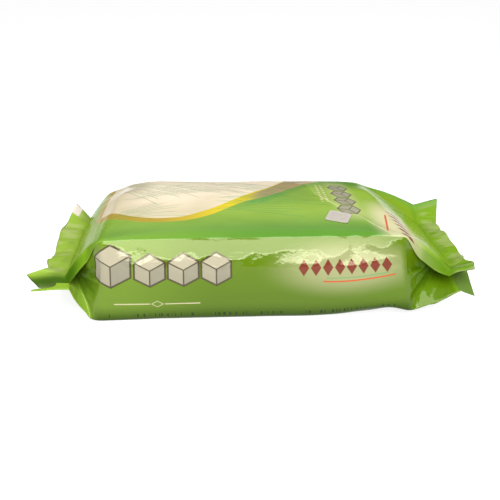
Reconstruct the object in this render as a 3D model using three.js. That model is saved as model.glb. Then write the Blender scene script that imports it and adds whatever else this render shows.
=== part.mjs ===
// A full packet of sugar lying on its back: a side-gusseted film bag, heat-sealed across both ends,
// with a small label stuck on its front. The bag is one closed body: film, sugar and end fins.
// Millimetres, +Z up. X runs along the bag, -Y is the near long side, and the origin lies on the
// floor under the middle of the bag.
import * as THREE from "three";

// Driving dimensions of the bag.
const WIDTH = 120; // front and back panel, across the bag
const HEIGHT = 51; // side panel, from the front to the back
const BODY_HALF = 88; // middle of the bag to the crease where the side panels start to tuck in
const TUCK_RUN = 28; // from that crease to the seal, along X
const FIN_RUN = 15.5; // width of the sealed fin
const FILM = 0.6; // thickness of one flap of a fin
const SEAL_HEIGHT = 24.5; // of the seal above the floor
const CROWN = 4.5; // rise of the front panel's middle over its edges
const SIDE_BULGE = 4; // how far the side panels swell at half height
const LEAN = 3.4; // how far the near side panel's upper edge leans in over the sugar
const LEAN_FROM = 33; // height at which that lean starts
const LEAN_ENDS = 20; // length over which it fades out towards the creases
const UPPER_RADIUS = 8; // softness of the front panel's long edges
const LOWER_RADIUS = 4; // softness of the back panel's long edges
const CREASE_RADIUS = 3; // softness of the creases round the tucks
const TUCK_FILL = 3.5; // how far the sugar holds a tuck's flap open
const STRAIGHT_HALF = 25; // half of the bag's middle part, which keeps the regular form

const GUSSET = HEIGHT / 2; // one half of a side panel
const HALF_WIDTH = WIDTH / 2;
const TIP = HALF_WIDTH - GUSSET; // how far from the middle a tucked side panel ends
const TUCK_FILM = Math.hypot(TUCK_RUN, GUSSET); // the tuck's length measured on the film
const FIN_START = BODY_HALF + TUCK_FILM;
const FILM_END = FIN_START + FIN_RUN;
const LOOP = 2 * WIDTH + 2 * HEIGHT + 4 * FILM; // once round the bag

// How the bag's corners lie off the regular form, as [dx, dy, dz], from handling and settling.
// crease: a side panel's end corners. seal: the inner corners of a fin's two flaps and the gusset's
// tip between them. tip: the same three places on the fin's free edge. swell: how far the sugar
// pushes the slope between crease and seal outwards, on the front and on the back.
const HANDLING = {
  leftNear: {
    creaseTop: [-1.5, 0, -1], creaseBottom: [-3, -2, 0],
    sealTop: [4.5, 0, 1], sealMiddle: [3, 0, -1.5], sealBottom: [7.5, 0, -4],
    tipTop: [-0.7, 0, 6], tipMiddle: [6, 0, -2], tipBottom: [0.5, 0, -4],
    swell: [1.5, 1.5],
  },
  leftFar: {
    creaseTop: [4.5, 0, 1], creaseBottom: [-4, 0, 0],
    sealTop: [3, 0, -2.5], sealMiddle: [1, 0, -1.5], sealBottom: [3, 0, -4],
    tipTop: [8.5, 0, 10.5], tipMiddle: [1, 0, 0.5], tipBottom: [6, 0, 4],
    swell: [5, 2],
  },
  rightNear: {
    creaseTop: [-4, 0, 0], creaseBottom: [2, -1.5, 4],
    sealTop: [-3, 0, 3.5], sealMiddle: [1, 0, 1.5], sealBottom: [4, 0, -8.5],
    tipTop: [-3.5, 0, 7.5], tipMiddle: [-5, 0, 4], tipBottom: [-3, 0, -12.5],
    swell: [1, 0],
  },
  rightFar: {
    creaseTop: [-12, 0, -1.5], creaseBottom: [3, 0, 1.5],
    sealTop: [2, 0, 6.5], sealMiddle: [0, 0, 0.5], sealBottom: [1, 0, -2],
    tipTop: [3.5, 0, 10], tipMiddle: [-3, 0, 2], tipBottom: [0, 0, -2],
    swell: [1, 2],
  },
};

// The label on the front panel.
const LABEL = {
  x: 52, y: -34.8, length: 15.5, width: 16.2, turn: -0.38, corner: 2, thickness: 0.5, gap: 0.35,
};

// Mesh density, in cells.
const CELLS = { body: 14, tuck: 7, fin: 3, gusset: 7, middle: 12 };

const vector = (x, y, z) => new THREE.Vector3(x, y, z);
const between = (a, b, share) => a.clone().lerp(b, share);
const raised = (point, rise) => vector(point.x, point.y, point.z + rise);
const smoothStep = (low, high, value) => THREE.MathUtils.smoothstep(value, low, high);

// The named points of one corner of the bag, before the film is softened.
function cornerPoints(end, side, handling) {
  const seal = BODY_HALF + TUCK_RUN;
  const free = seal + FIN_RUN;
  const place = (x, y, z, name) => vector(end * x, side * y, z).add(vector(...handling[name]));
  return {
    end,
    swell: handling.swell,
    creaseTop: place(BODY_HALF, HALF_WIDTH, HEIGHT, "creaseTop"),
    creaseBottom: place(BODY_HALF, HALF_WIDTH, 0, "creaseBottom"),
    sealTop: place(seal, HALF_WIDTH, SEAL_HEIGHT + FILM, "sealTop"),
    sealMiddle: place(seal, TIP, SEAL_HEIGHT, "sealMiddle"),
    sealBottom: place(seal, HALF_WIDTH, SEAL_HEIGHT - FILM, "sealBottom"),
    tipTop: place(free, HALF_WIDTH, SEAL_HEIGHT + FILM, "tipTop"),
    tipMiddle: place(free, TIP, SEAL_HEIGHT, "tipMiddle"),
    tipBottom: place(free, HALF_WIDTH, SEAL_HEIGHT - FILM, "tipBottom"),
  };
}

const NEAR = {
  left: cornerPoints(-1, -1, HANDLING.leftNear),
  right: cornerPoints(1, -1, HANDLING.rightNear),
};
const FAR = {
  left: cornerPoints(-1, 1, HANDLING.leftFar),
  right: cornerPoints(1, 1, HANDLING.rightFar),
};

// A point of a side panel's fold over the body, which runs straight but for its last stretch.
function bodyFold(u, side, z, corner, name) {
  const regular = vector(u, side * HALF_WIDTH, z);
  const full = vector(Math.sign(u) * BODY_HALF, side * HALF_WIDTH, z);
  const offset = corner[name].clone().sub(full);
  return regular.addScaledVector(offset, smoothStep(STRAIGHT_HALF, BODY_HALF, Math.abs(u)));
}

// The folded film's lines on one long side, cut at the film length u: its upper and lower fold, the
// gusset fold between them, and the two slanting creases that run from a corner to the gusset's tip.
function sideLines(u, ends, side) {
  const corner = u < 0 ? ends.left : ends.right;
  const distance = Math.abs(u);
  if (distance <= BODY_HALF) {
    const top = bodyFold(u, side, HEIGHT, corner, "creaseTop");
    const bottom = bodyFold(u, side, 0, corner, "creaseBottom");
    const middle = between(top, bottom, 0.5);
    return { corner, top, bottom, middle, upper: raised(top, -FILM), lower: raised(bottom, FILM), tucked: 0 };
  }
  const { creaseTop, creaseBottom, sealTop, sealMiddle, sealBottom, tipTop, tipMiddle, tipBottom } = corner;
  if (distance <= FIN_START) {
    const share = (distance - BODY_HALF) / TUCK_FILM;
    const hump = Math.sin(Math.PI * share);
    const upper = between(raised(creaseTop, -FILM), sealMiddle, share);
    const lower = between(raised(creaseBottom, FILM), sealMiddle, share);
    return {
      corner,
      top: swollen(between(creaseTop, sealTop, share), corner, hump, 1),
      bottom: swollen(between(creaseBottom, sealBottom, share), corner, hump, -1),
      middle: between(between(creaseTop, creaseBottom, 0.5), sealMiddle, share),
      upper: raised(upper, -TUCK_FILL * hump),
      lower: raised(lower, TUCK_FILL * hump),
      tucked: share,
    };
  }
  const share = (distance - FIN_START) / FIN_RUN;
  const middle = between(sealMiddle, tipMiddle, share);
  const top = between(sealTop, tipTop, share);
  const bottom = between(sealBottom, tipBottom, share);
  return { corner, top, bottom, middle, upper: middle, lower: middle, tucked: 1 };
}

// Pushes a point of the slope between crease and seal outwards.
function swollen(point, corner, hump, face) {
  const push = corner.swell[face > 0 ? 0 : 1] * hump * Math.SQRT1_2;
  return point.add(vector(corner.end * push, 0, face * push));
}

// The front (+1) or back (-1) panel's line over a gusset's tip, on the side that lines belong to.
function overTip(u, face, lines, other) {
  const edgeShare = GUSSET / WIDTH;
  const name = face > 0 ? "top" : "bottom";
  const crease = face > 0 ? "creaseTop" : "creaseBottom";
  if (Math.abs(u) <= BODY_HALF) return between(lines[name], other[name], edgeShare);
  const sealed = raised(lines.middle, face * FILM);
  if (lines.tucked === 1) return sealed;
  const start = between(lines.corner[crease], other.corner[crease], edgeShare);
  const end = raised(lines.corner.sealMiddle, face * FILM);
  const hump = Math.sin(Math.PI * lines.tucked);
  return between(
    swollen(between(start, end, lines.tucked), lines.corner, hump, face),
    swollen(between(start, end, lines.tucked), other.corner, hump, face),
    edgeShare,
  );
}

// The front (+1) or back (-1) panel at film length u and film distance a from its middle line.
function panelPoint(u, a, face, near, far) {
  const name = face > 0 ? "top" : "bottom";
  const nearTip = overTip(u, face, near, far);
  const farTip = overTip(u, face, far, near);
  if (a < -TIP) return between(near[name], nearTip, (a + HALF_WIDTH) / GUSSET);
  if (a > TIP) return between(farTip, far[name], (a - TIP) / GUSSET);
  return between(nearTip, farTip, (a + TIP) / (2 * TIP));
}

// A side panel at film distance d down from its upper fold.
function gussetPoint(d, lines) {
  const fromFold = Math.min(d, HEIGHT - d);
  const upperHalf = d < GUSSET;
  const edge = upperHalf ? raised(lines.top, -FILM) : raised(lines.bottom, FILM);
  const crease = upperHalf ? lines.upper : lines.lower;
  const creaseAt = GUSSET * lines.tucked;
  if (fromFold < creaseAt) return between(edge, crease, fromFold / creaseAt);
  if (lines.tucked === 1) return crease.clone();
  return between(crease, lines.middle, (fromFold - creaseAt) / (GUSSET - creaseAt));
}

// The sharply folded film: u runs along the bag, v once round it from the middle of the front panel,
// over the near side, the back and the far side.
function foldedPoint(u, v) {
  const near = sideLines(u, NEAR, -1);
  const far = sideLines(u, FAR, 1);
  let rest = THREE.MathUtils.euclideanModulo(v, LOOP);
  if (rest <= HALF_WIDTH) return panelPoint(u, -rest, 1, near, far);
  rest -= HALF_WIDTH;
  if (rest < FILM) return raised(near.top, -rest);
  rest -= FILM;
  if (rest <= HEIGHT) return gussetPoint(rest, near);
  rest -= HEIGHT;
  if (rest < FILM) return raised(near.bottom, FILM - rest);
  rest -= FILM;
  if (rest <= WIDTH) return panelPoint(u, rest - HALF_WIDTH, -1, near, far);
  rest -= WIDTH;
  if (rest < FILM) return raised(far.bottom, rest);
  rest -= FILM;
  if (rest <= HEIGHT) return gussetPoint(HEIGHT - rest, far);
  rest -= HEIGHT;
  if (rest < FILM) return raised(far.top, rest - FILM);
  rest -= FILM;
  return panelPoint(u, HALF_WIDTH - rest, 1, near, far);
}

// How far the film's folds are softened at a place on it: most along the front panel's long edges.
function softness(u, v) {
  const distance = Math.abs(u);
  if (distance >= FIN_START) return 0;
  if (distance > BODY_HALF) return CREASE_RADIUS * (1 - smoothStep(BODY_HALF, FIN_START, distance));
  const fromFront = LOOP / 2 - Math.abs(THREE.MathUtils.euclideanModulo(v, LOOP) - LOOP / 2);
  const down = smoothStep(HALF_WIDTH, HALF_WIDTH + HEIGHT, fromFront);
  const edge = THREE.MathUtils.lerp(UPPER_RADIUS, LOWER_RADIUS, down);
  return THREE.MathUtils.lerp(CREASE_RADIUS, edge, smoothStep(0, 40, BODY_HALF - distance));
}

// Swells the panels with the sugar inside, leans the near side panel's upper edge in and waves the
// fins, as a smooth movement of space.
function settle(point) {
  const distance = Math.abs(point.x);
  const along = 1 - smoothStep(0.5 * BODY_HALF, FIN_START - 8, distance);
  const height = point.z / HEIGHT;
  const across = point.y / HALF_WIDTH;
  const crown = CROWN * height * (1 - across ** 2) * along;
  const bulge = SIDE_BULGE * across * Math.max(0, 1 - (2 * height - 1) ** 2) * along;
  const free = smoothStep(BODY_HALF + TUCK_RUN, FILM_END, distance);
  const long = 1.2 * Math.sin(point.y * 0.11 + 0.8 * Math.sign(point.x));
  const short = 0.6 * Math.sin(point.y * 0.27);
  const y = point.y + bulge;
  const z = point.z + crown + free * (long + short);
  const upper = THREE.MathUtils.clamp((z - LEAN_FROM) / (HEIGHT - LEAN_FROM), 0, 1) ** 1.7;
  const near = smoothStep(HALF_WIDTH / 2, HALF_WIDTH, -y);
  const lean = LEAN * upper * near * (1 - smoothStep(BODY_HALF - LEAN_ENDS, BODY_HALF, distance));
  return vector(point.x, y + lean, z);
}

// A point of the finished bag: the folded film averaged over its softness, then settled.
function bagPoint(u, v) {
  const radius = softness(u, v);
  const steps = radius > 0 ? [-1, -0.5, 0, 0.5, 1] : [0];
  const sum = vector(0, 0, 0);
  let total = 0;
  for (const i of steps) {
    for (const j of steps) {
      const weight = (Math.abs(i) === 1 ? 0.5 : 1) * (Math.abs(j) === 1 ? 0.5 : 1);
      sum.addScaledVector(foldedPoint(u + i * radius, v + j * radius), weight);
      total += weight;
    }
  }
  return settle(sum.divideScalar(total));
}

const spread = (from, to, cells) =>
  Array.from({ length: cells }, (_, i) => THREE.MathUtils.lerp(from, to, i / cells));

// The film lengths at which the bag is cut into rings, from the left fin's edge to the right one's.
function ringStations() {
  return [
    ...spread(-FILM_END, -FIN_START, CELLS.fin),
    ...spread(-FIN_START, -BODY_HALF, CELLS.tuck),
    ...spread(-BODY_HALF, BODY_HALF, CELLS.body),
    ...spread(BODY_HALF, FIN_START, CELLS.tuck),
    ...spread(FIN_START, FILM_END, CELLS.fin),
    FILM_END,
  ];
}

// The places round a ring, and where on it each stretch of film starts.
function ringPlaces() {
  const places = [];
  const starts = {};
  let v = 0;
  const stretch = (name, length, cells) => {
    starts[name] = places.length;
    places.push(...spread(v, v + length, cells));
    v += length;
  };
  stretch("frontNearMiddle", TIP, CELLS.middle / 2);
  stretch("frontNearFlap", GUSSET, CELLS.gusset);
  stretch("nearUpperEdge", FILM, 1);
  stretch("nearUpperGusset", GUSSET, CELLS.gusset);
  stretch("nearLowerGusset", GUSSET, CELLS.gusset);
  stretch("nearLowerEdge", FILM, 1);
  stretch("backNearFlap", GUSSET, CELLS.gusset);
  stretch("backMiddle", 2 * TIP, CELLS.middle);
  stretch("backFarFlap", GUSSET, CELLS.gusset);
  stretch("farLowerEdge", FILM, 1);
  stretch("farLowerGusset", GUSSET, CELLS.gusset);
  stretch("farUpperGusset", GUSSET, CELLS.gusset);
  stretch("farUpperEdge", FILM, 1);
  stretch("frontFarFlap", GUSSET, CELLS.gusset);
  stretch("frontFarMiddle", TIP, CELLS.middle / 2);
  return { places, starts };
}

// Closes the open end of a fin, whose ring starts at vertex first, with faces between its two skins.
// Each strip runs from the near side to the far one, between an upper and a lower line of film, and
// the web between the two gussets ends in a fan round each gusset's tip.
function capFaces(first, count, starts, facing) {
  const faces = [];
  const at = (index) => first + ((index + count) % count);
  const face = (a, b, c) => faces.push(...(facing > 0 ? [a, b, c] : [a, c, b]));
  const strip = (upper, lower, cells) => {
    for (let i = 0; i < cells; i++) {
      face(at(lower + i), at(lower + i + 1), at(upper - i - 1));
      face(at(lower + i), at(upper - i - 1), at(upper - i));
    }
  };
  const fan = (tip, ...rim) => {
    for (let i = 0; i < rim.length - 1; i++) face(at(tip), at(rim[i]), at(rim[i + 1]));
  };
  const { frontNearFlap, backMiddle, backFarFlap, frontFarMiddle } = starts;
  strip(starts.nearUpperEdge, starts.nearUpperGusset, CELLS.gusset);
  strip(starts.nearLowerEdge, starts.backNearFlap, CELLS.gusset);
  fan(starts.nearLowerGusset, backMiddle, backMiddle + 1, frontNearFlap - 1, frontNearFlap);
  strip(frontNearFlap - 1, backMiddle + 1, CELLS.middle - 2);
  fan(starts.farUpperGusset, frontFarMiddle, frontFarMiddle + 1, backFarFlap - 1, backFarFlap);
  strip(frontFarMiddle, starts.farUpperGusset, CELLS.gusset);
  strip(starts.farUpperGusset, backFarFlap, CELLS.gusset);
  return faces;
}

// The closed surface of the filled bag.
function bagGeometry() {
  const stations = ringStations();
  const { places, starts } = ringPlaces();
  const count = places.length;
  const points = stations.flatMap((u) => places.map((v) => bagPoint(u, v)));
  const faces = [];
  for (let i = 0; i < stations.length - 1; i++) {
    for (let j = 0; j < count; j++) {
      const a = i * count + j;
      const b = i * count + ((j + 1) % count);
      const [c, d] = [b + count, a + count];
      // A fold shortens the diagonal that crosses it, so the longer one lies along the fold.
      if (points[a].distanceTo(points[c]) >= points[b].distanceTo(points[d])) faces.push(a, b, c, a, c, d);
      else faces.push(a, b, d, b, c, d);
    }
  }
  faces.push(...capFaces(0, count, starts, -1));
  faces.push(...capFaces((stations.length - 1) * count, count, starts, 1));
  return surface(points, faces);
}

function surface(points, faces) {
  const geometry = new THREE.BufferGeometry();
  geometry.setAttribute("position", new THREE.Float32BufferAttribute(points.flatMap((p) => p.toArray()), 3));
  geometry.setIndex(faces);
  geometry.computeVertexNormals();
  return geometry;
}

// A label with rounded corners that follows the front panel a small gap above it.
function labelGeometry() {
  const rings = 3;
  const perCorner = 5;
  const outline = [];
  for (let corner = 0; corner < 4; corner++) {
    const [sx, sy] = [[1, 1], [-1, 1], [-1, -1], [1, -1]][corner];
    for (let i = 0; i < perCorner; i++) {
      const angle = ((corner + i / (perCorner - 1)) * Math.PI) / 2;
      outline.push(new THREE.Vector2(
        sx * (LABEL.length / 2 - LABEL.corner) + LABEL.corner * Math.cos(angle),
        sy * (LABEL.width / 2 - LABEL.corner) + LABEL.corner * Math.sin(angle),
      ));
    }
  }
  const centre = new THREE.Vector2(LABEL.x, LABEL.y);
  const origin = new THREE.Vector2();
  const place = (share, index, height) => {
    const onFilm = outline[index].clone().multiplyScalar(share).rotateAround(origin, LABEL.turn).add(centre);
    return bagPoint(onFilm.x, -onFilm.y).add(vector(0, 0, height));
  };
  const count = outline.length;
  const skin = (height) => [
    place(0, 0, height),
    ...Array.from({ length: rings }, (_, ring) =>
      outline.map((_, index) => place((ring + 1) / rings, index, height))).flat(),
  ];
  const points = [...skin(LABEL.gap + LABEL.thickness), ...skin(LABEL.gap)];
  const under = points.length / 2;
  const faces = [];
  const both = (a, b, c) => faces.push(a, b, c, under + a, under + c, under + b);
  for (let index = 0; index < count; index++) {
    const next = (index + 1) % count;
    both(0, 1 + index, 1 + next);
    for (let ring = 0; ring < rings - 1; ring++) {
      const [inner, outer] = [1 + ring * count, 1 + (ring + 1) * count];
      both(inner + index, outer + index, outer + next);
      both(inner + index, outer + next, inner + next);
    }
    const rim = 1 + (rings - 1) * count;
    faces.push(rim + index, under + rim + index, under + rim + next);
    faces.push(rim + index, under + rim + next, rim + next);
  }
  return surface(points, faces);
}

function piece(name, geometry, color, roughness, metalness) {
  const mesh = new THREE.Mesh(geometry, new THREE.MeshStandardMaterial({ color, roughness, metalness }));
  mesh.name = name;
  return mesh;
}

// The uneven fins put the middle of the bag off the middle of its film; the pieces are moved so that
// the origin lies under the middle of the bag.
const bag = bagGeometry();
const label = labelGeometry();
bag.computeBoundingBox();
const middle = bag.boundingBox.getCenter(vector(0, 0, 0));
for (const geometry of [bag, label]) geometry.translate(-middle.x, -middle.y, -bag.boundingBox.min.z);

const packet = new THREE.Group();
packet.name = "sugar_packet";
packet.add(piece("bag", bag, "#8dbb3c", 0.3, 0));
packet.add(piece("label", label, "#c9c4bc", 0.35, 0.3));

export default packet;
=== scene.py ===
"""A full film bag of sugar lying on its back, with a small label stuck on its front panel.

The bag is a flat sheet of film that is folded into a side-gusseted bag, softened along its folds,
swollen by the sugar and wrinkled. Its print is worked out from each point's place on the flat film.
"""

import math

import bmesh
import bpy
import numpy as np
from bpy.props import FloatProperty, FloatVectorProperty, PointerProperty
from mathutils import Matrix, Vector, noise


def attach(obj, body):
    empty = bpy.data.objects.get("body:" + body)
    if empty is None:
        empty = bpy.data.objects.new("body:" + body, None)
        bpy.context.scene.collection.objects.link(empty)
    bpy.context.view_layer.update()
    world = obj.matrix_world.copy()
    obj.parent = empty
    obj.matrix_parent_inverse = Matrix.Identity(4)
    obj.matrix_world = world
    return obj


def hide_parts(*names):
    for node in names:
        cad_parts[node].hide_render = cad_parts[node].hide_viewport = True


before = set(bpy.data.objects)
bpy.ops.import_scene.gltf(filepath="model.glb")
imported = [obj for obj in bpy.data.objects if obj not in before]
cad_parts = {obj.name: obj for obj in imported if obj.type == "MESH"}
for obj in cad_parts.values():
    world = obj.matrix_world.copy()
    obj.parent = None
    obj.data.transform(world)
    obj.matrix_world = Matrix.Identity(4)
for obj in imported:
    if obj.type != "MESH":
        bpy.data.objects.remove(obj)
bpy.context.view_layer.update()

bl_info = {
    "name": "Sugar packet",
    "version": (1, 0, 0),
    "blender": (4, 5, 0),
    "location": "View3D > Sidebar > Sugar packet",
    "description": "Makes a filled film bag of sugar, its label and a plain studio",
    "category": "Object",
}

MM = 0.001


def srgb(red, green, blue):
    """A colour in Blender's linear values, from the 0 to 255 values of a colour picker."""
    return tuple(
        (c / 255 / 12.92 if c <= 10 else ((c / 255 + 0.055) / 1.055) ** 2.4)
        for c in (red, green, blue)
    )


def length(name, description, millimetres):
    return FloatProperty(
        name=name, description=description, default=millimetres * MM, min=0.0, unit="LENGTH"
    )


def colour(name, description, red, green, blue):
    return FloatVectorProperty(
        name=name,
        description=description,
        default=srgb(red, green, blue),
        min=0.0,
        max=1.0,
        size=3,
        subtype="COLOR",
    )


# Sizes and colours


class PacketBagShape(bpy.types.PropertyGroup):
    """Sizes of the bag."""

    width: length("Width", "Front and back panel, across the bag", 120)
    height: length("Height", "Side panel, from the front to the back", 51)
    body_half: length("Half body", "Middle of the bag to the crease where the tucks start", 88)
    tuck_run: length("Tuck run", "From that crease to the seal, along the bag", 28)
    fin_run: length("Fin", "Width of the sealed fin", 15.5)
    film: length("Flap thickness", "Half the thickness that a flap of a fin shows", 0.35)
    seal_height: length("Seal height", "Height of the seal above the floor", 24.5)
    crown: length("Crown", "Rise of the front panel's middle over its edges", 4.5)
    side_bulge: length("Side bulge", "How far the side panels swell at half height", 4.0)
    upper_radius: length("Upper edge softness", "Softness of the front panel's long edges", 8)
    lower_radius: length("Lower edge softness", "Softness of the back panel's long edges", 4)
    crease_radius: length("Crease softness", "Softness of the creases round the tucks", 3)
    tuck_fill: length("Tuck filling", "How far the sugar holds a tuck's flap open", 3.5)
    wrinkle: length("Wrinkle height", "Height of the film's wrinkles", 0.5)


class PacketLabelShape(bpy.types.PropertyGroup):
    """Sizes and place of the label."""

    along: length("Along", "Label's middle from the middle of the film, along the bag", 52)
    across: length("Towards the near side", "Label's middle from the panel's middle line", 34.8)
    long_side: length("Length", "Size of the label along the bag", 15.5)
    wide_side: length("Width", "Size of the label across the bag", 16.2)
    corner: length("Corner radius", "Radius of the label's corners", 2)
    thickness: length("Thickness", "Thickness of the label", 0.25)
    turn: FloatProperty(
        name="Turn", description="How far the label is turned", default=-0.38, unit="ROTATION"
    )


class PacketPrintColours(bpy.types.PropertyGroup):
    """Colours of the print and of the label."""

    side_upper: colour("Side, upper", "Side panel near the front panel", 64, 87, 2)
    side_lower: colour("Side, lower", "Side panel near the back panel", 61, 86, 6)
    front_edge: colour("Front, edge", "Front panel near the side panel", 57, 97, 24)
    front_light: colour("Front, lighter", "Front panel beside the cream field", 105, 131, 43)
    front_end: colour("Front, ends", "Front panel near the fins and the fins", 98, 126, 24)
    shadow_green: colour("Green shadow", "Darker green beside the bronze edge", 84, 120, 46)
    cream: colour("Cream", "Large field on the front panel", 212, 199, 177)
    gold: colour("Gold", "Edge of the cream field", 172, 154, 20)
    gold_shade: colour("Darker gold", "Gold edge at its near end", 130, 110, 30)
    bronze: colour("Bronze", "Shaded part of the gold edge", 132, 117, 80)
    stroke: colour("Strokes", "Thin line drawing", 0, 108, 62)
    # Also laid as painted highlights: the streaks on the slopes and fins and the line along the
    # ridge.
    pale: colour("Pale", "Soft glows and the ribbon", 164, 154, 128)
    silver: colour("Silver", "Fill of the cube row", 113, 109, 97)
    outline: colour("Outline", "Outline of the cube row", 38, 26, 12)
    lozenge: colour("Lozenges", "Small dark red lozenges", 84, 6, 10)
    orange: colour("Orange", "Thin orange rule", 150, 44, 6)
    # Also laid on the folded strips of the upper flaps as painted shade.
    fin_green_and_strip_shade: colour("Right fin", "Darker green of the right fin", 78, 108, 20)
    recess: colour("Recess", "Film in the shade of the tucks", 22, 52, 2)
    seal_green: colour("Seal", "Bluish green where the seal shows through", 60, 82, 28)
    # Painted shade along the foot of the side panel, just above the floor.
    side_foot_shade: colour("Side, foot", "Side panel just above the floor", 22, 42, 2)
    # Also laid as painted shade under the raised near edge at the right.
    fine_print_and_shade: colour("Fine print", "Small dark bars near the back", 18, 34, 12)
    label: colour("Label", "Face of the label", 166, 159, 148)
    label_mark: colour("Label marks", "Faint bars on the label", 120, 114, 108)


class PacketStageLook(bpy.types.PropertyGroup):
    """Floor, lights and camera."""

    floor: colour("Floor", "Colour of the floor", 140, 140, 140)
    floor_glow: FloatProperty(
        name="Floor glow", description="Light that the backlit floor gives off", default=0.8, min=0,
    )
    room: FloatProperty(name="Room light", description="Brightness of the room", default=0.8, min=0)
    front: FloatProperty(
        name="Front light", description="Power of the large light above the front", default=24.0,
        min=0, subtype="POWER", unit="POWER",
    )
    strip: FloatProperty(
        name="Strip light", description="Power of the narrow light at the front light's foot",
        default=7.0, min=0, subtype="POWER", unit="POWER",
    )
    lens: FloatProperty(
        name="Lens", description="Focal length on a 36 mm sensor", default=56.9, min=1,
    )
    distance: length("Distance", "Camera to the bag's middle", 515)
    elevation: FloatProperty(
        name="Elevation", description="Camera above the horizon", default=math.radians(20.75),
        unit="ROTATION",
    )
    azimuth: FloatProperty(
        name="Azimuth", description="Camera round the bag", default=math.radians(-2.0),
        unit="ROTATION",
    )


GROUPS = {
    "packet_bag": PacketBagShape,
    "packet_label": PacketLabelShape,
    "packet_print": PacketPrintColours,
    "packet_stage": PacketStageLook,
}


# Folding the film

# How the bag's corners lie off the regular form, in millimetres, from handling and settling.
CORNER_NAMES = (
    "crease_top", "crease_bottom", "seal_top", "seal_middle", "seal_bottom",
    "tip_top", "tip_middle", "tip_bottom",
)
HANDLING = {
    ("left", "near"): {
        "crease_top": (-1.5, 0, -1), "crease_bottom": (-3, -2, 0),
        "seal_top": (4.5, 0, 1), "seal_middle": (3, 0, -1.5), "seal_bottom": (7.5, 0, -4),
        "tip_top": (-0.7, 0, 6), "tip_middle": (6, 0, -2), "tip_bottom": (0.5, 0, -4),
        "swell": (1.5, 1.5),
    },
    ("left", "far"): {
        "crease_top": (4.5, 0, 1), "crease_bottom": (-4, 0, 0),
        "seal_top": (3, 0, -2.5), "seal_middle": (1, 0, -1.5), "seal_bottom": (3, 0, -4),
        "tip_top": (8.5, 0, 10.5), "tip_middle": (1, 0, 0.5), "tip_bottom": (6, 0, 4),
        "swell": (5, 2),
    },
    ("right", "near"): {
        "crease_top": (-4, 0, 0), "crease_bottom": (2, -1.5, 4),
        "seal_top": (-3, 0, 3.5), "seal_middle": (1, 0, 1.5), "seal_bottom": (4, 0, -8.5),
        "tip_top": (-3.5, 0, 7.5), "tip_middle": (-5, 0, 4), "tip_bottom": (-3, 0, -12.5),
        "swell": (1, 0),
    },
    ("right", "far"): {
        "crease_top": (-12, 0, -1.5), "crease_bottom": (3, 0, 1.5),
        "seal_top": (2, 0, 6.5), "seal_middle": (0, 0, 0.5), "seal_bottom": (1, 0, -2),
        "tip_top": (3.5, 0, 10), "tip_middle": (-3, 0, 2), "tip_bottom": (0, 0, -2),
        "swell": (1, 2),
    },
}
STRAIGHT_HALF = 25.0  # half of the bag's middle part, which keeps the regular form
MIDDLE_X = 1.4  # middle of the bag off the middle of its film, because the fins are uneven
SOFTENING_STEPS = np.linspace(-1, 1, 7)
SOFTENING_WEIGHTS = np.array([0.5, 1, 1, 1, 1, 1, 0.5])


def smooth_step(low, high, value):
    share = np.clip((value - low) / (high - low), 0, 1)
    return share * share * (3 - 2 * share)


def between(a, b, share):
    return a + (b - a) * np.asarray(share)[..., None]


def raised(points, rise):
    moved = points.copy()
    moved[..., 2] += rise
    return moved


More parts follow.
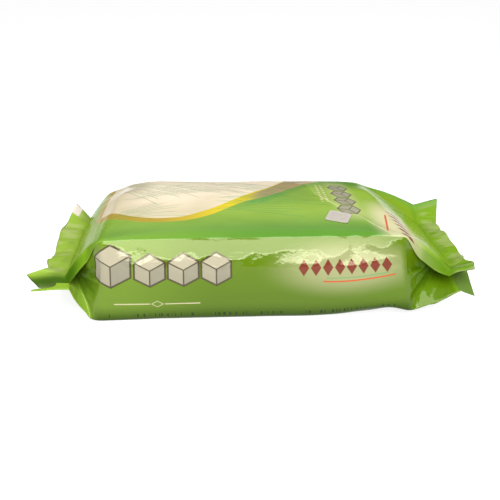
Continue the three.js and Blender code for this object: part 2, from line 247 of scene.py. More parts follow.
class FilmBag:
    """The folded bag as a function of the place on its flat film, in millimetres."""

    def __init__(self, shape):
        for name in shape.__annotations__:
            setattr(self, name, getattr(shape, name) / MM)
        self.gusset = self.height / 2
        self.half_width = self.width / 2
        self.tip = self.half_width - self.gusset
        self.seal = self.body_half + self.tuck_run
        self.tuck_film = math.hypot(self.tuck_run, self.gusset)
        self.fin_start = self.body_half + self.tuck_film
        self.film_end = self.fin_start + self.fin_run
        self.loop = 2 * self.width + 2 * self.height + 4 * self.film
        self.corners = {
            (end, side): self.corner_points(end, side) for end, side in HANDLING
        }

    def corner_points(self, end, side):
        """The named points of one corner, before the film is softened."""
        x = 1 if end == "right" else -1
        y = 1 if side == "far" else -1
        seal, free = self.seal, self.seal + self.fin_run
        up, down = self.seal_height + self.film, self.seal_height - self.film
        regular = {
            "crease_top": (x * self.body_half, y * self.half_width, self.height),
            "crease_bottom": (x * self.body_half, y * self.half_width, 0),
            "seal_top": (x * seal, y * self.half_width, up),
            "seal_middle": (x * seal, y * self.tip, self.seal_height),
            "seal_bottom": (x * seal, y * self.half_width, down),
            "tip_top": (x * free, y * self.half_width, up),
            "tip_middle": (x * free, y * self.tip, self.seal_height),
            "tip_bottom": (x * free, y * self.half_width, down),
        }
        offsets = HANDLING[end, side]
        points = {name: np.add(regular[name], offsets[name]).astype(float) for name in CORNER_NAMES}
        points["swell"] = np.array(offsets["swell"], float)
        return points

    def pick(self, u, side, name):
        """A named corner point of the nearer end, for each film length in u."""
        left, right = self.corners["left", side][name], self.corners["right", side][name]
        return np.where((u > 0)[..., None], right, left)

    def swollen(self, points, u, push, face):
        moved = points.copy()
        moved[..., 0] += np.sign(u) * push * math.sqrt(0.5)
        moved[..., 2] += face * push * math.sqrt(0.5)
        return moved

    def side_lines(self, u, side):
        """The folded film's lines on one long side: its upper and lower fold, the gusset fold
        between them, and the two slanting creases from a corner to the gusset's tip."""
        distance = np.abs(u)
        y = self.half_width * (1 if side == "far" else -1)
        corner = {name: self.pick(u, side, name) for name in (*CORNER_NAMES, "swell")}
        shift = smooth_step(STRAIGHT_HALF, self.body_half, distance)
        tucked = np.clip((distance - self.body_half) / self.tuck_film, 0, 1)
        sealed = np.clip((distance - self.fin_start) / self.fin_run, 0, 1)
        hump = np.sin(np.pi * tucked)
        lines = {"tucked": tucked, "hump": hump, "corner": corner}
        on_body = (distance <= self.body_half)[..., None]
        on_fin = (distance > self.fin_start)[..., None]
        for name, z, face, place in (("top", self.height, 1, 0), ("bottom", 0, -1, 1)):
            crease = corner["crease_" + name]
            full = np.stack([np.sign(u) * self.body_half, 0 * u + y, 0 * u + z], -1)
            regular = np.stack([u, 0 * u + y, 0 * u + z], -1)
            body = regular + (crease - full) * shift[..., None]
            tuck = between(crease, corner["seal_" + name], tucked)
            tuck = self.swollen(tuck, u, corner["swell"][..., place] * hump, face)
            fin = between(corner["seal_" + name], corner["tip_" + name], sealed)
            lines[name] = np.where(on_body, body, np.where(on_fin, fin, tuck))
        body_middle = (lines["top"] + lines["bottom"]) / 2
        crease_middle = (corner["crease_top"] + corner["crease_bottom"]) / 2
        tuck_middle = between(crease_middle, corner["seal_middle"], tucked)
        fin_middle = between(corner["seal_middle"], corner["tip_middle"], sealed)
        lines["middle"] = np.where(on_body, body_middle, np.where(on_fin, fin_middle, tuck_middle))
        for name, edge, face in (("upper", "top", 1), ("lower", "bottom", -1)):
            start = raised(corner["crease_" + edge], -face * self.film)
            tuck = between(start, corner["seal_middle"], tucked)
            tuck = raised(tuck, -face * self.tuck_fill * hump)
            body = raised(lines[edge], -face * self.film)
            lines[name] = np.where(on_body, body, np.where(on_fin, fin_middle, tuck))
        return lines

    def over_tip(self, u, face, lines, other):
        """A panel's line over a gusset's tip, on the side that lines belong to."""
        share = self.gusset / self.width
        name, place = ("top", 0) if face > 0 else ("bottom", 1)
        body = lines[name] + (other[name] - lines[name]) * share
        crease = "crease_" + name
        start = lines["corner"][crease] * (1 - share) + other["corner"][crease] * share
        end = raised(lines["corner"]["seal_middle"], face * self.film)
        swell = lines["corner"]["swell"][..., place] * (1 - share)
        swell = (swell + other["corner"]["swell"][..., place] * share) * lines["hump"]
        tuck = self.swollen(between(start, end, lines["tucked"]), u, swell, face)
        sealed = raised(lines["middle"], face * self.film)
        distance = np.abs(u)[..., None]
        return np.where(
            distance <= self.body_half, body, np.where(distance > self.fin_start, sealed, tuck)
        )

    def panel(self, u, a, face, near, far):
        """The front (+1) or back (-1) panel at distance a from its middle line."""
        name = "top" if face > 0 else "bottom"
        near_tip = self.over_tip(u, face, near, far)
        far_tip = self.over_tip(u, face, far, near)
        near_flap = between(near[name], near_tip, (a + self.half_width) / self.gusset)
        far_flap = between(far_tip, far[name], (a - self.tip) / self.gusset)
        middle = between(near_tip, far_tip, (a + self.tip) / (2 * self.tip))
        a = a[..., None]
        return np.where(a < -self.tip, near_flap, np.where(a > self.tip, far_flap, middle))

    def side_panel(self, d, lines):
        """A side panel at distance d down from its upper fold."""
        from_fold = np.minimum(d, self.height - d)
        upper = (d < self.gusset)[..., None]
        edge = np.where(upper, raised(lines["top"], -self.film), raised(lines["bottom"], self.film))
        crease = np.where(upper, lines["upper"], lines["lower"])
        at = self.gusset * lines["tucked"]
        outer = between(edge, crease, from_fold / np.maximum(at, 1e-6))
        from_crease = (from_fold - at) / np.maximum(self.gusset - at, 1e-6)
        inner = between(crease, lines["middle"], from_crease)
        return np.where((from_fold < at)[..., None], outer, inner)

    def folded(self, u, s):
        """The sharply folded film: s runs round it from the middle of the front panel, positive
        over the near side and negative over the far side."""
        near, far = self.side_lines(u, "near"), self.side_lines(u, "far")
        s = (s + self.loop / 2) % self.loop - self.loop / 2
        lines = {}
        is_near = (s >= 0)[..., None]
        for name in ("top", "bottom", "middle", "upper", "lower"):
            lines[name] = np.where(is_near, near[name], far[name])
        lines["tucked"] = near["tucked"]
        out = np.abs(s)
        first = self.half_width + self.film
        second = first + self.height
        front = self.panel(u, -s, 1, near, far)
        back = self.panel(u, np.sign(-s) * (self.loop / 2 - out), -1, near, far)
        top_edge = lines["top"].copy()
        top_edge[..., 2] -= out - self.half_width
        bottom_edge = lines["bottom"].copy()
        bottom_edge[..., 2] += second + self.film - out
        side = self.side_panel(np.clip(out - first, 0, self.height), lines)
        out = out[..., None]
        result = np.where(out <= self.half_width, front, top_edge)
        result = np.where(out >= first, side, result)
        result = np.where(out > second, bottom_edge, result)
        return np.where(out >= second + self.film, back, result)

    def across(self, out):
        """Distance from the fin's middle line at distance out round the film, on a sealed fin."""
        upper = 2 * self.half_width + self.film - out
        lower = self.tip + out - self.half_width - self.film - self.gusset
        first = self.half_width + self.film
        side = np.where(out < first + self.gusset, np.minimum(upper, self.half_width), lower)
        beyond_front = np.where(out > first + self.height, self.loop / 2 - out, side)
        return np.where(out <= self.half_width, out, beyond_front)

    def softness(self, u, s):
        """How far the film's folds are softened: most along the front panel's long edges."""
        distance = np.abs(u)
        down = smooth_step(self.half_width, self.half_width + self.height, np.abs(s))
        edge = self.upper_radius + (self.lower_radius - self.upper_radius) * down
        body = smooth_step(0, 40, self.body_half - distance)
        on_body = self.crease_radius + (edge - self.crease_radius) * body
        on_tuck = self.crease_radius * (1 - smooth_step(self.body_half, self.fin_start, distance))
        return np.where(distance > self.body_half, on_tuck, on_body)

    def settled(self, points):
        """Swells the panels with the sugar inside, as a smooth movement of space."""
        x, y, z = points[..., 0], points[..., 1], points[..., 2]
        along = 1 - smooth_step(0.5 * self.body_half, self.fin_start - 8, np.abs(x))
        height = z / self.height
        across = y / self.half_width
        crown = self.crown * height * (1 - across**2) * along
        bulge = self.side_bulge * across * np.maximum(0, 1 - (2 * height - 1) ** 2) * along
        return np.stack([x, y + bulge, z + crown], -1)

    def place(self, u, s):
        """Points of the finished bag at film lengths u and places s round it."""
        radius = self.softness(u, s)
        total = 0
        summed = np.zeros((*u.shape, 3))
        for step_u, weight_u in zip(SOFTENING_STEPS, SOFTENING_WEIGHTS):
            for step_s, weight_s in zip(SOFTENING_STEPS, SOFTENING_WEIGHTS):
                weight = weight_u * weight_s
                summed += weight * self.folded(u + step_u * radius, s + step_s * radius)
                total += weight
        points = self.settled(summed / total)
        points[..., 0] -= MIDDLE_X
        return points


def film_noise(u, s, scale, seed):
    """Smooth noise from -1 to 1 over the film, in lumps of about scale millimetres."""
    flat = zip((u / scale).ravel(), (s / scale).ravel())
    values = [noise.noise(Vector((a, b, seed))) for a, b in flat]
    return np.array(values).reshape(u.shape)


def ridges(values):
    """Turns smooth noise into sharp creases between smooth hollows."""
    return 1 - 2 * np.abs(values)


# Creases of the film: (u, s) of both ends in millimetres, width, and height outwards.
CREASES = (
    # The ridge over the front panel to the right near corner, and what runs beside it.
    (30, -42, 43, -8, 6.0, 0.7), (43, -8, 58, 22, 4.0, 0.9), (58, 22, 74, 46, 3.0, 0.9),
    (74, 46, 86, 60, 2.2, 0.8), (86, 60, 118, 58, 1.2, 0.6),
    (64, 20, 84, 50, 1.6, -0.4), (88, 52, 120, 50, 1.4, -0.3), (90, 46, 118, 40, 1.6, 0.2),
    (92, -44, 100, 34, 3.0, 0.25), (100, -30, 112, 20, 3.0, -0.3), (104, 44, 122, 22, 2.0, 0.3),
    # Streaks that fan out over the left slope from its near corner.
    (-90, 60, -80, 27, 1.6, 0.2), (-91, 59, -87, 18, 1.3, -0.15), (-91, 58, -90, 4, 1.4, 0.2),
    (-92, 57, -93, -8, 1.3, -0.2), (-93, 58, -97, 0, 1.6, 0.25), (-95, 56, -104, -12, 1.5, -0.2),
    (-92, 60, -118, 57, 1.2, 0.4), (-96, 54, -114, 20, 1.8, 0.3), (-98, -6, -94, -44, 2.2, 0.3),
    (-104, 30, -100, -30, 2.6, -0.3), (-78, 44, -66, 22, 2.4, 0.2),
    # Dents and creases round the near corners of the side panel.
    (84, 70, 92, 92, 2.0, 0.5), (80, 78, 90, 84, 1.5, -0.5), (88, 62, 84, 110, 1.6, 0.8),
    (90, 66, 110, 76, 1.6, 0.7), (92, 72, 112, 82, 1.6, -0.8), (90, 80, 116, 86, 1.6, 0.9),
    (94, 92, 110, 87, 1.6, -0.9), (90, 100, 108, 90, 1.8, 0.9), (88, 106, 104, 96, 2.2, -0.8),
    (92, 109, 112, 101, 2.6, 0.8), (98, 109, 118, 95, 1.8, 0.6),
    (-88, 64, -92, 110, 1.8, 0.6), (-90, 68, -108, 78, 1.8, 0.6), (-92, 76, -112, 83, 1.6, -0.8),
    (-90, 86, -114, 87, 1.5, 0.8), (-92, 96, -110, 89, 1.6, -0.8), (-90, 104, -106, 92, 1.8, 0.8),
    (-86, 92, -78, 84, 1.6, -0.3), (-86, 96, -76, 96, 1.6, 0.3), (-84, 80, -72, 76, 1.8, -0.3),
    # Creases in the fins.
    (-127, -21, -137, -12, 1.0, -0.5), (-127, 31, -136, 37, 1.0, -0.5),
    (-128, 8, -138, 3, 1.2, 0.3),
    (127, -26, 138, -38, 1.6, 0.8), (127, -14, 138, -12, 1.4, -0.7), (127, 2, 138, 6, 1.4, 0.6),
    (127, 14, 138, 19, 1.2, -0.6), (127, 24, 138, 30, 1.4, 0.6), (127, 36, 138, 38, 1.2, -0.5),
    # Soft lines where the sugar lies unevenly under the panels.
    (-60, 56, -20, 52, 5.0, -0.25), (0, 50, 40, 54, 5.0, 0.25), (-30, -20, 10, 10, 9.0, 0.3),
    (-20, 86, 20, 92, 7.0, -0.25), (30, 96, 70, 100, 8.0, 0.3), (-60, 98, -30, 102, 8.0, 0.25),
)


def crease_relief(u, s):
    """Height of the single creases, each sharp across and fading out towards its ends."""
    relief = np.zeros_like(u)
    for u0, s0, u1, s1, width, height in CREASES:
        du, ds = u1 - u0, s1 - s0
        long = math.hypot(du, ds)
        share = ((u - u0) * du + (s - s0) * ds) / long**2
        off = ((s - s0) * du - (u - u0) * ds) / long + 0.04 * long * np.sin(math.pi * share)
        fade = smooth_step(0, 0.2, share) * (1 - smooth_step(0.7, 1, share))
        relief += height * fade * np.exp(-np.sqrt((off / width) ** 2 + 0.05) * 1.4)
    return relief


def wrinkle_relief(bag, u, s):
    """Height of the wrinkles over the smooth bag, where 1 is a strong wrinkle."""
    distance, around = np.abs(u), np.abs(s)
    on_body = 1 - smooth_step(bag.body_half - 6, bag.body_half + 10, distance)
    on_tuck = smooth_step(bag.body_half - 10, bag.body_half + 8, distance)
    top_edge = bag.half_width
    shoulder = smooth_step(top_edge - 3, top_edge + 4, around) * (
        1 - smooth_step(top_edge + 15, top_edge + 24, around)
    )
    # The sugar lies a little unevenly under the panels.
    relief = 0.8 * film_noise(u, s, 34, 1.7) * on_body
    relief += 0.3 * film_noise(u, s, 12, 5.1) * on_body
    # The film is crumpled along the side panels' upper edges, and pleated over the tucks.
    crumple = ridges(film_noise(u * 0.8, s * 1.2, 13, 9.3))
    relief += 1.2 * (crumple - 0.6) * shoulder * on_body
    relief += 0.5 * film_noise(u * 0.8, s, 6.5, 2.2) * shoulder * on_body
    inside = smooth_step(top_edge - 8, top_edge + 6, around)
    relief += (0.3 + 1.2 * inside) * (ridges(film_noise(u * 0.7, s, 17, 14.2)) - 0.6) * on_tuck
    relief += 0.4 * inside * (ridges(film_noise(u, s, 7, 3.2)) - 0.6) * on_tuck
    return relief + 1.3 * crease_relief(u, s)


# How the near side panel leans in over the sugar, in millimetres: how far, from which height and
# over which rise, and the length over which it fades out towards the creases.
LEAN, LEAN_FROM, LEAN_RISE, LEAN_ENDS = 3.4, 33, 17, 20
# Near edges of the upper flaps, folded down: width of the folded strip on the slope and on the fin,
# angle in degrees, and how far each millimetre of the strip stands back at the fin's free edge.
FOLDED_STRIPS = {1: (10.8, 6.6, 75, 0.0), -1: (8.8, 13.5, 84, 0.65)}
FOLD_ROUNDING = 1.2
GUSSET_LAYER = 1.0  # how far the gusset's layer of a folded strip lies behind the outer one
# How far the left fin's upper free edge stands back, as smooth steps: (millimetres, from, to).
LEFT_EDGE_STEPS = ((1.9, -60, -30), (-2.8, 2, 17), (0.7, 12, 18), (-2.9, 18, 19.2), (4.6, 22, 42))
LEFT_STRIP_OUT, LEFT_STRIP_DOWN = 7.0, 2.4  # the same for the folded strip's end
# Bumps of the bottom's near edge: (axis, millimetres, middle and width along the film, middle and
# width round it from the side panel's foot). An ear that hangs to the floor at the right corner,
# an arch beside it, the edge drawn up before both, and a heel at the left corner.
BOTTOM_BUMPS = (
    (2, -1.6, 94, 8, 1, 5), (2, 1.6, 77, 8, 5, 9), (2, 2.0, 66, 14, 0, 4), (0, -2.4, -90, 8, 0, 9),
)


def peak(value, middle, width):
    return np.exp(-(((value - middle) / width) ** 2))


def lean_in(bag, points, u):
    """Leans the upper part of the near side panel in, where the film is drawn over the sugar."""
    body = 1 - smooth_step(bag.body_half - LEAN_ENDS, bag.body_half, np.abs(u))
    upper = np.clip((points[..., 2] - LEAN_FROM) / LEAN_RISE, 0, 1) ** 1.7
    moved = points.copy()
    moved[..., 1] += LEAN * upper * smooth_step(30, 58, -points[..., 1]) * body
    return moved


def fold_flaps(bag, points, u, s):
    """Folds the near edges of the upper flaps down."""
    distance = np.abs(u)
    tucked = smooth_step(bag.body_half - 2, bag.body_half + 0.4 * bag.tuck_film, distance)
    sealed = smooth_step(bag.fin_start, bag.film_end, distance)
    flap = (s > 0) & (s < bag.half_width + bag.film + bag.gusset) & (distance > bag.body_half)
    behind = GUSSET_LAYER * smooth_step(0, 3, s - bag.half_width - bag.film)
    moved = points.copy()
    for end, (width, fin_width, angle, back) in FOLDED_STRIPS.items():
        corner = peak(points[..., 0] * end, bag.seal, 8) * (end > 0)
        strip = (width + (fin_width - width) * sealed) * tucked * (1 - 0.7 * corner)
        beyond = (-bag.half_width + strip) - points[..., 1]
        bent = np.hypot(np.maximum(beyond, 0), FOLD_ROUNDING) - FOLD_ROUNDING
        bent = np.where(flap & (beyond > 0) & (np.sign(u) == end), bent, 0)
        angle = math.radians(angle)
        moved[..., 0] -= end * back * sealed * bent
        moved[..., 1] += (1 - math.cos(angle)) * bent + behind * np.clip(bent / 2, 0, 1)
        moved[..., 2] -= math.sin(angle) * bent
    return moved


def fin_sway(bag, points, u, s):
    """Waves of the fins and of the near bottom corners, shared by all layers of the film."""
    x, y, z = points[..., 0], points[..., 1], points[..., 2]
    moved = points.copy()
    free = smooth_step(bag.seal, bag.seal + bag.fin_run, np.abs(x))
    wave = 1.2 * np.sin(y * 0.11 + np.where(x > 0, 0.8, -0.8)) + 0.5 * np.sin(y * 0.27)
    # A pleat on the right fin runs from the seal to the free edge.
    pleat = 1.4 * peak(y + 0.5 * (x - bag.seal), 24, 4) * (x > 0)
    moved[..., 2] += free * (wave - pleat)
    # Each fin's free edge stands back beside the folded strips of its near flaps, and a pleat of
    # the left one shifts the part before them outwards.
    upper = np.abs(s) < bag.half_width + bag.film + bag.gusset
    across = np.sign(s) * bag.across(np.abs(s))
    left_edge = smooth_step(bag.seal + 1, bag.seal + bag.fin_run, -x)
    right_edge = smooth_step(bag.seal + 1, bag.seal + bag.fin_run, x)
    lower_back = 12 * smooth_step(36, 44, across) * (1 - smooth_step(54, 58, across))
    upper_back = sum(step * smooth_step(low, high, across) for step, low, high in LEFT_EDGE_STEPS)
    strip = smooth_step(43, 47, across)
    upper_back -= (upper_back + LEFT_STRIP_OUT) * strip
    moved[..., 0] += left_edge * np.where(upper, upper_back, lower_back)
    moved[..., 2] -= left_edge * np.where(upper, LEFT_STRIP_DOWN * strip, 0)
    right_back = 4.6 * smooth_step(36, 47, across) * (1 - smooth_step(49, 53, across))
    moved[..., 0] -= right_edge * np.where(upper, right_back - 1.3 * peak(across, 18, 14), 0)
    around = s - bag.half_width - bag.height
    for axis, rise, middle_u, width_u, middle_s, width_s in BOTTOM_BUMPS:
        moved[..., axis] += rise * peak(u, middle_u, width_u) * peak(around, middle_s, width_s)
    # Both near tucks sag, and the ends of the front panel's far edge lie a little lower.
    near_low = smooth_step(15, 35, -y) * (1 - smooth_step(14, 24, z))
    moved[..., 2] -= 1.7 * peak(x, 104, 7) * near_low
    moved[..., 0] -= 2.2 * peak(x, -98, 10) * near_low
    sink = 2.8 * peak(x, -86, 13) + 1.4 * peak(x, 80, 13)
    moved[..., 2] -= sink * smooth_step(20, 50, y) * smooth_step(22, 34, z)
    return moved


# Making the bag


def spread(start, stop, cells):
    return np.linspace(start, stop, cells, endpoint=False)


class FilmSheet:
    """Where the rows and columns of the flat film lie, so that its folds fall on them."""

    FIN_EDGE = 0.5

    def __init__(self, bag):
        tuck, body, fin = 34, 140, 15
        ends = bag.film_end
        positive = [
            *spread(bag.body_half, bag.fin_start, tuck),
            *spread(bag.fin_start, ends - self.FIN_EDGE, fin),
            ends - self.FIN_EDGE,
            ends,
        ]
        middle = spread(-bag.body_half, bag.body_half, body)
        self.u = np.array([*(-value for value in reversed(positive)), *middle[1:], *positive])
        gusset, centre = 24, 30
        half = [
            *spread(0, bag.tip, centre),
            *spread(bag.tip, bag.half_width, gusset),
            *spread(bag.half_width, bag.half_width + bag.film, 1),
            *spread(bag.half_width + bag.film, bag.half_width + bag.film + bag.height, 2 * gusset),
            *spread(bag.loop / 2 - bag.half_width - bag.film, bag.loop / 2 - bag.half_width, 1),
            *spread(bag.loop / 2 - bag.half_width, bag.loop / 2 - bag.tip, gusset),
            *spread(bag.loop / 2 - bag.tip, bag.loop / 2, centre),
            bag.loop / 2,
        ]
        self.s = np.array([*(-value for value in reversed(half[1:])), *half])


def normals_of(points):
    """Outward normals of a sheet whose rows close round the bag."""
    along = np.gradient(points, axis=0)
    around = np.empty_like(points)
    around[:, 1:-1] = points[:, 2:] - points[:, :-2]
    around[:, 0] = around[:, -1] = points[:, 1] - points[:, -2]
    normals = np.cross(around, along)
    return normals / np.maximum(np.linalg.norm(normals, axis=-1, keepdims=True), 1e-9)


def bag_points(bag, u, s):
    points = lean_in(bag, bag.place(u, s), u)
    thin = 1 - 0.75 * smooth_step(bag.fin_start - 10, bag.fin_start, np.abs(u))
    thin *= 1 - smooth_step(bag.fin_start, bag.fin_start + 3, np.abs(u))
    under = smooth_step(bag.loop / 2 - 62, bag.loop / 2 - 50, np.abs(s))
    relief = wrinkle_relief(bag, u, s) * thin * (1 - under)
    points = points + normals_of(points) * (relief * bag.wrinkle)[..., None]
    return fin_sway(bag, fold_flaps(bag, points, u, s), u, s)


def link_piece(mesh_data, name):
    piece = bpy.data.objects.new(name, mesh_data)
    bpy.context.scene.collection.objects.link(piece)
    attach(piece, "root")
    return piece


class PACKET_OT_make_bag(bpy.types.Operator):
    """Folds the flat film into the filled bag and prints it"""

    bl_idname = "packet.make_bag"
    bl_label = "Make bag"

    def execute(self, context):
        bag = FilmBag(context.scene.packet_bag)
        sheet = FilmSheet(bag)
        columns, rows = len(sheet.u), len(sheet.s)
        bm = bmesh.new()
        bmesh.ops.create_grid(bm, x_segments=columns - 1, y_segments=rows - 1, size=1)
        film_map = bm.loops.layers.uv.new("Film")
        u, s = np.meshgrid(sheet.u, sheet.s, indexing="ij")
        points = bag_points(bag, u, s)
        # The free edge of each fin is closed by bringing its two skins together.
        for edge in (0, -1):
            self.close_fin(bag, points[edge], sheet.s)
        for vertex in bm.verts:
            i = round((vertex.co.x + 1) / 2 * (columns - 1))
            j = round((vertex.co.y + 1) / 2 * (rows - 1))
            for loop in vertex.link_loops:
                loop[film_map].uv = (
                    (sheet.u[i] / bag.film_end + 1) / 2,
                    sheet.s[j] / bag.loop + 0.5,
                )
            vertex.co = Vector(points[i, j]) * MM
        bmesh.ops.remove_doubles(bm, verts=bm.verts, dist=0.00001)
        bmesh.ops.recalc_face_normals(bm, faces=bm.faces)
        mesh_data = bpy.data.meshes.new("bag_film")
        bm.to_mesh(mesh_data)
        bm.free()
        mesh_data.shade_smooth()
        piece = link_piece(mesh_data, "printed_bag")
        mesh_data.materials.append(FilmPrint(bag, context.scene.packet_print).material)
        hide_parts("bag")
        return {"FINISHED"}

    def close_fin(self, bag, ring, places):
        """Moves a ring's upper and lower skins onto the line between them."""
        top, bottom = bag.half_width, bag.half_width + 2 * bag.film + bag.height
        fold_top, fold_bottom = top + bag.film, bottom - bag.film
        gusset_fold = fold_top + bag.gusset
        index = {round(float(value), 4): k for k, value in enumerate(places)}

        def at(value):
            return index[round(float(value), 4)]

        for sign in (-1, 1):
            for k, value in enumerate(places):
                if value * sign < 0:
                    continue
                out = value * sign
                partner = None
                if bag.tip <= out <= top:
                    partner = fold_top + (top - out)
                elif bottom <= out <= bag.loop / 2 - bag.tip:
                    partner = fold_bottom - (out - bottom)
                elif out < bag.tip:
                    partner = bag.loop / 2 - out
                if partner is None:
                    continue
                twin = at(sign * partner)
                ring[k] = ring[twin] = (ring[k] + ring[twin]) / 2
            tips = [at(sign * value) for value in (bag.tip, gusset_fold, bag.loop / 2 - bag.tip)]
            ring[tips] = np.mean(ring[tips], axis=0)
        ring[0] = ring[-1]


class PACKET_OT_stick_label(bpy.types.Operator):
    """Sticks the small rounded label on the front panel"""

    bl_idname = "packet.stick_label"
    bl_label = "Stick label"

    GAP = 0.3  # millimetres between the film and the label
    RINGS, RING_WIDTH = 6, 1.1 * MM  # rings of faces that let the label follow the film
    STEP = 0.5  # millimetres on the film over which its slope is measured

    def execute(self, context):
        bag = FilmBag(context.scene.packet_bag)
        look = context.scene.packet_label
        bm = bmesh.new()
        bmesh.ops.create_grid(bm, x_segments=1, y_segments=1, size=0.5)
        for vertex in bm.verts:
            vertex.co.x *= look.long_side
            vertex.co.y *= look.wide_side
        bmesh.ops.bevel(
            bm, geom=list(bm.verts), offset=look.corner, offset_type="OFFSET", affect="VERTICES",
            segments=5, profile=0.5, material=-1,
        )
        for _ in range(self.RINGS):
            middle = [face for face in bm.faces if len(face.verts) > 4]
            bmesh.ops.inset_region(bm, faces=middle, thickness=self.RING_WIDTH)
        film_map = bm.loops.layers.uv.new("Face")
        for face in bm.faces:
            for loop in face.loops:
                place = loop.vert.co
                loop[film_map].uv = (place.x / look.long_side + 0.5, place.y / look.wide_side + 0.5)
        cosine, sine = math.cos(look.turn), math.sin(look.turn)
        x = np.array([v.co.x for v in bm.verts]) / MM
        y = np.array([v.co.y for v in bm.verts]) / MM
        u = look.along / MM + x * cosine - y * sine
        s = look.across / MM - (x * sine + y * cosine)
        steps = np.array([-self.STEP, 0, self.STEP])
        around_u = (u + steps[:, None])[:, :, None] + np.zeros(3)
        around_s = (s[:, None] + steps)[None] + np.zeros((3, 1, 1))
        points = lean_in(bag, bag.place(around_u, around_s), around_u)
        along = points[2, :, 1] - points[0, :, 1]
        around = points[1, :, 2] - points[1, :, 0]
        normals = np.cross(around, along)
        normals /= np.linalg.norm(normals, axis=-1, keepdims=True)
        rise = wrinkle_relief(bag, u, s) * bag.wrinkle + self.GAP
        placed = points[1, :, 1] + normals * rise[:, None]
        for vertex, place in zip(bm.verts, placed):
            vertex.co = Vector(place) * MM
        bmesh.ops.recalc_face_normals(bm, faces=bm.faces)
        if sum(face.normal.z for face in bm.faces) < 0:
            bmesh.ops.reverse_faces(bm, faces=bm.faces)
        bmesh.ops.solidify(bm, geom=list(bm.faces), thickness=-look.thickness)
        mesh_data = bpy.data.meshes.new("label_face")
        bm.to_mesh(mesh_data)
        bm.free()
        piece = link_piece(mesh_data, "front_label")
        mesh_data.materials.append(silver_label(context.scene.packet_print))
        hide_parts("label")
        return {"FINISHED"}


# Materials


class Field:
    """A value that varies over a surface. Sums on fields become shader nodes."""

    def __init__(self, ink, socket):
        self.ink = ink
        self.socket = socket

    def __add__(self, other):
        return self.ink.math("ADD", self, other)

    def __sub__(self, other):
        return self.ink.math("SUBTRACT", self, other)

    def __rsub__(self, other):
        return self.ink.math("SUBTRACT", other, self)

    def __mul__(self, other):
        return self.ink.math("MULTIPLY", self, other)

    def __truediv__(self, other):
        return self.ink.math("DIVIDE", self, other)

    def __mod__(self, other):
        return self.ink.math("FLOORED_MODULO", self, other)

    def __abs__(self):
        return self.ink.math("ABSOLUTE", self)

    __radd__, __rmul__ = __add__, __mul__


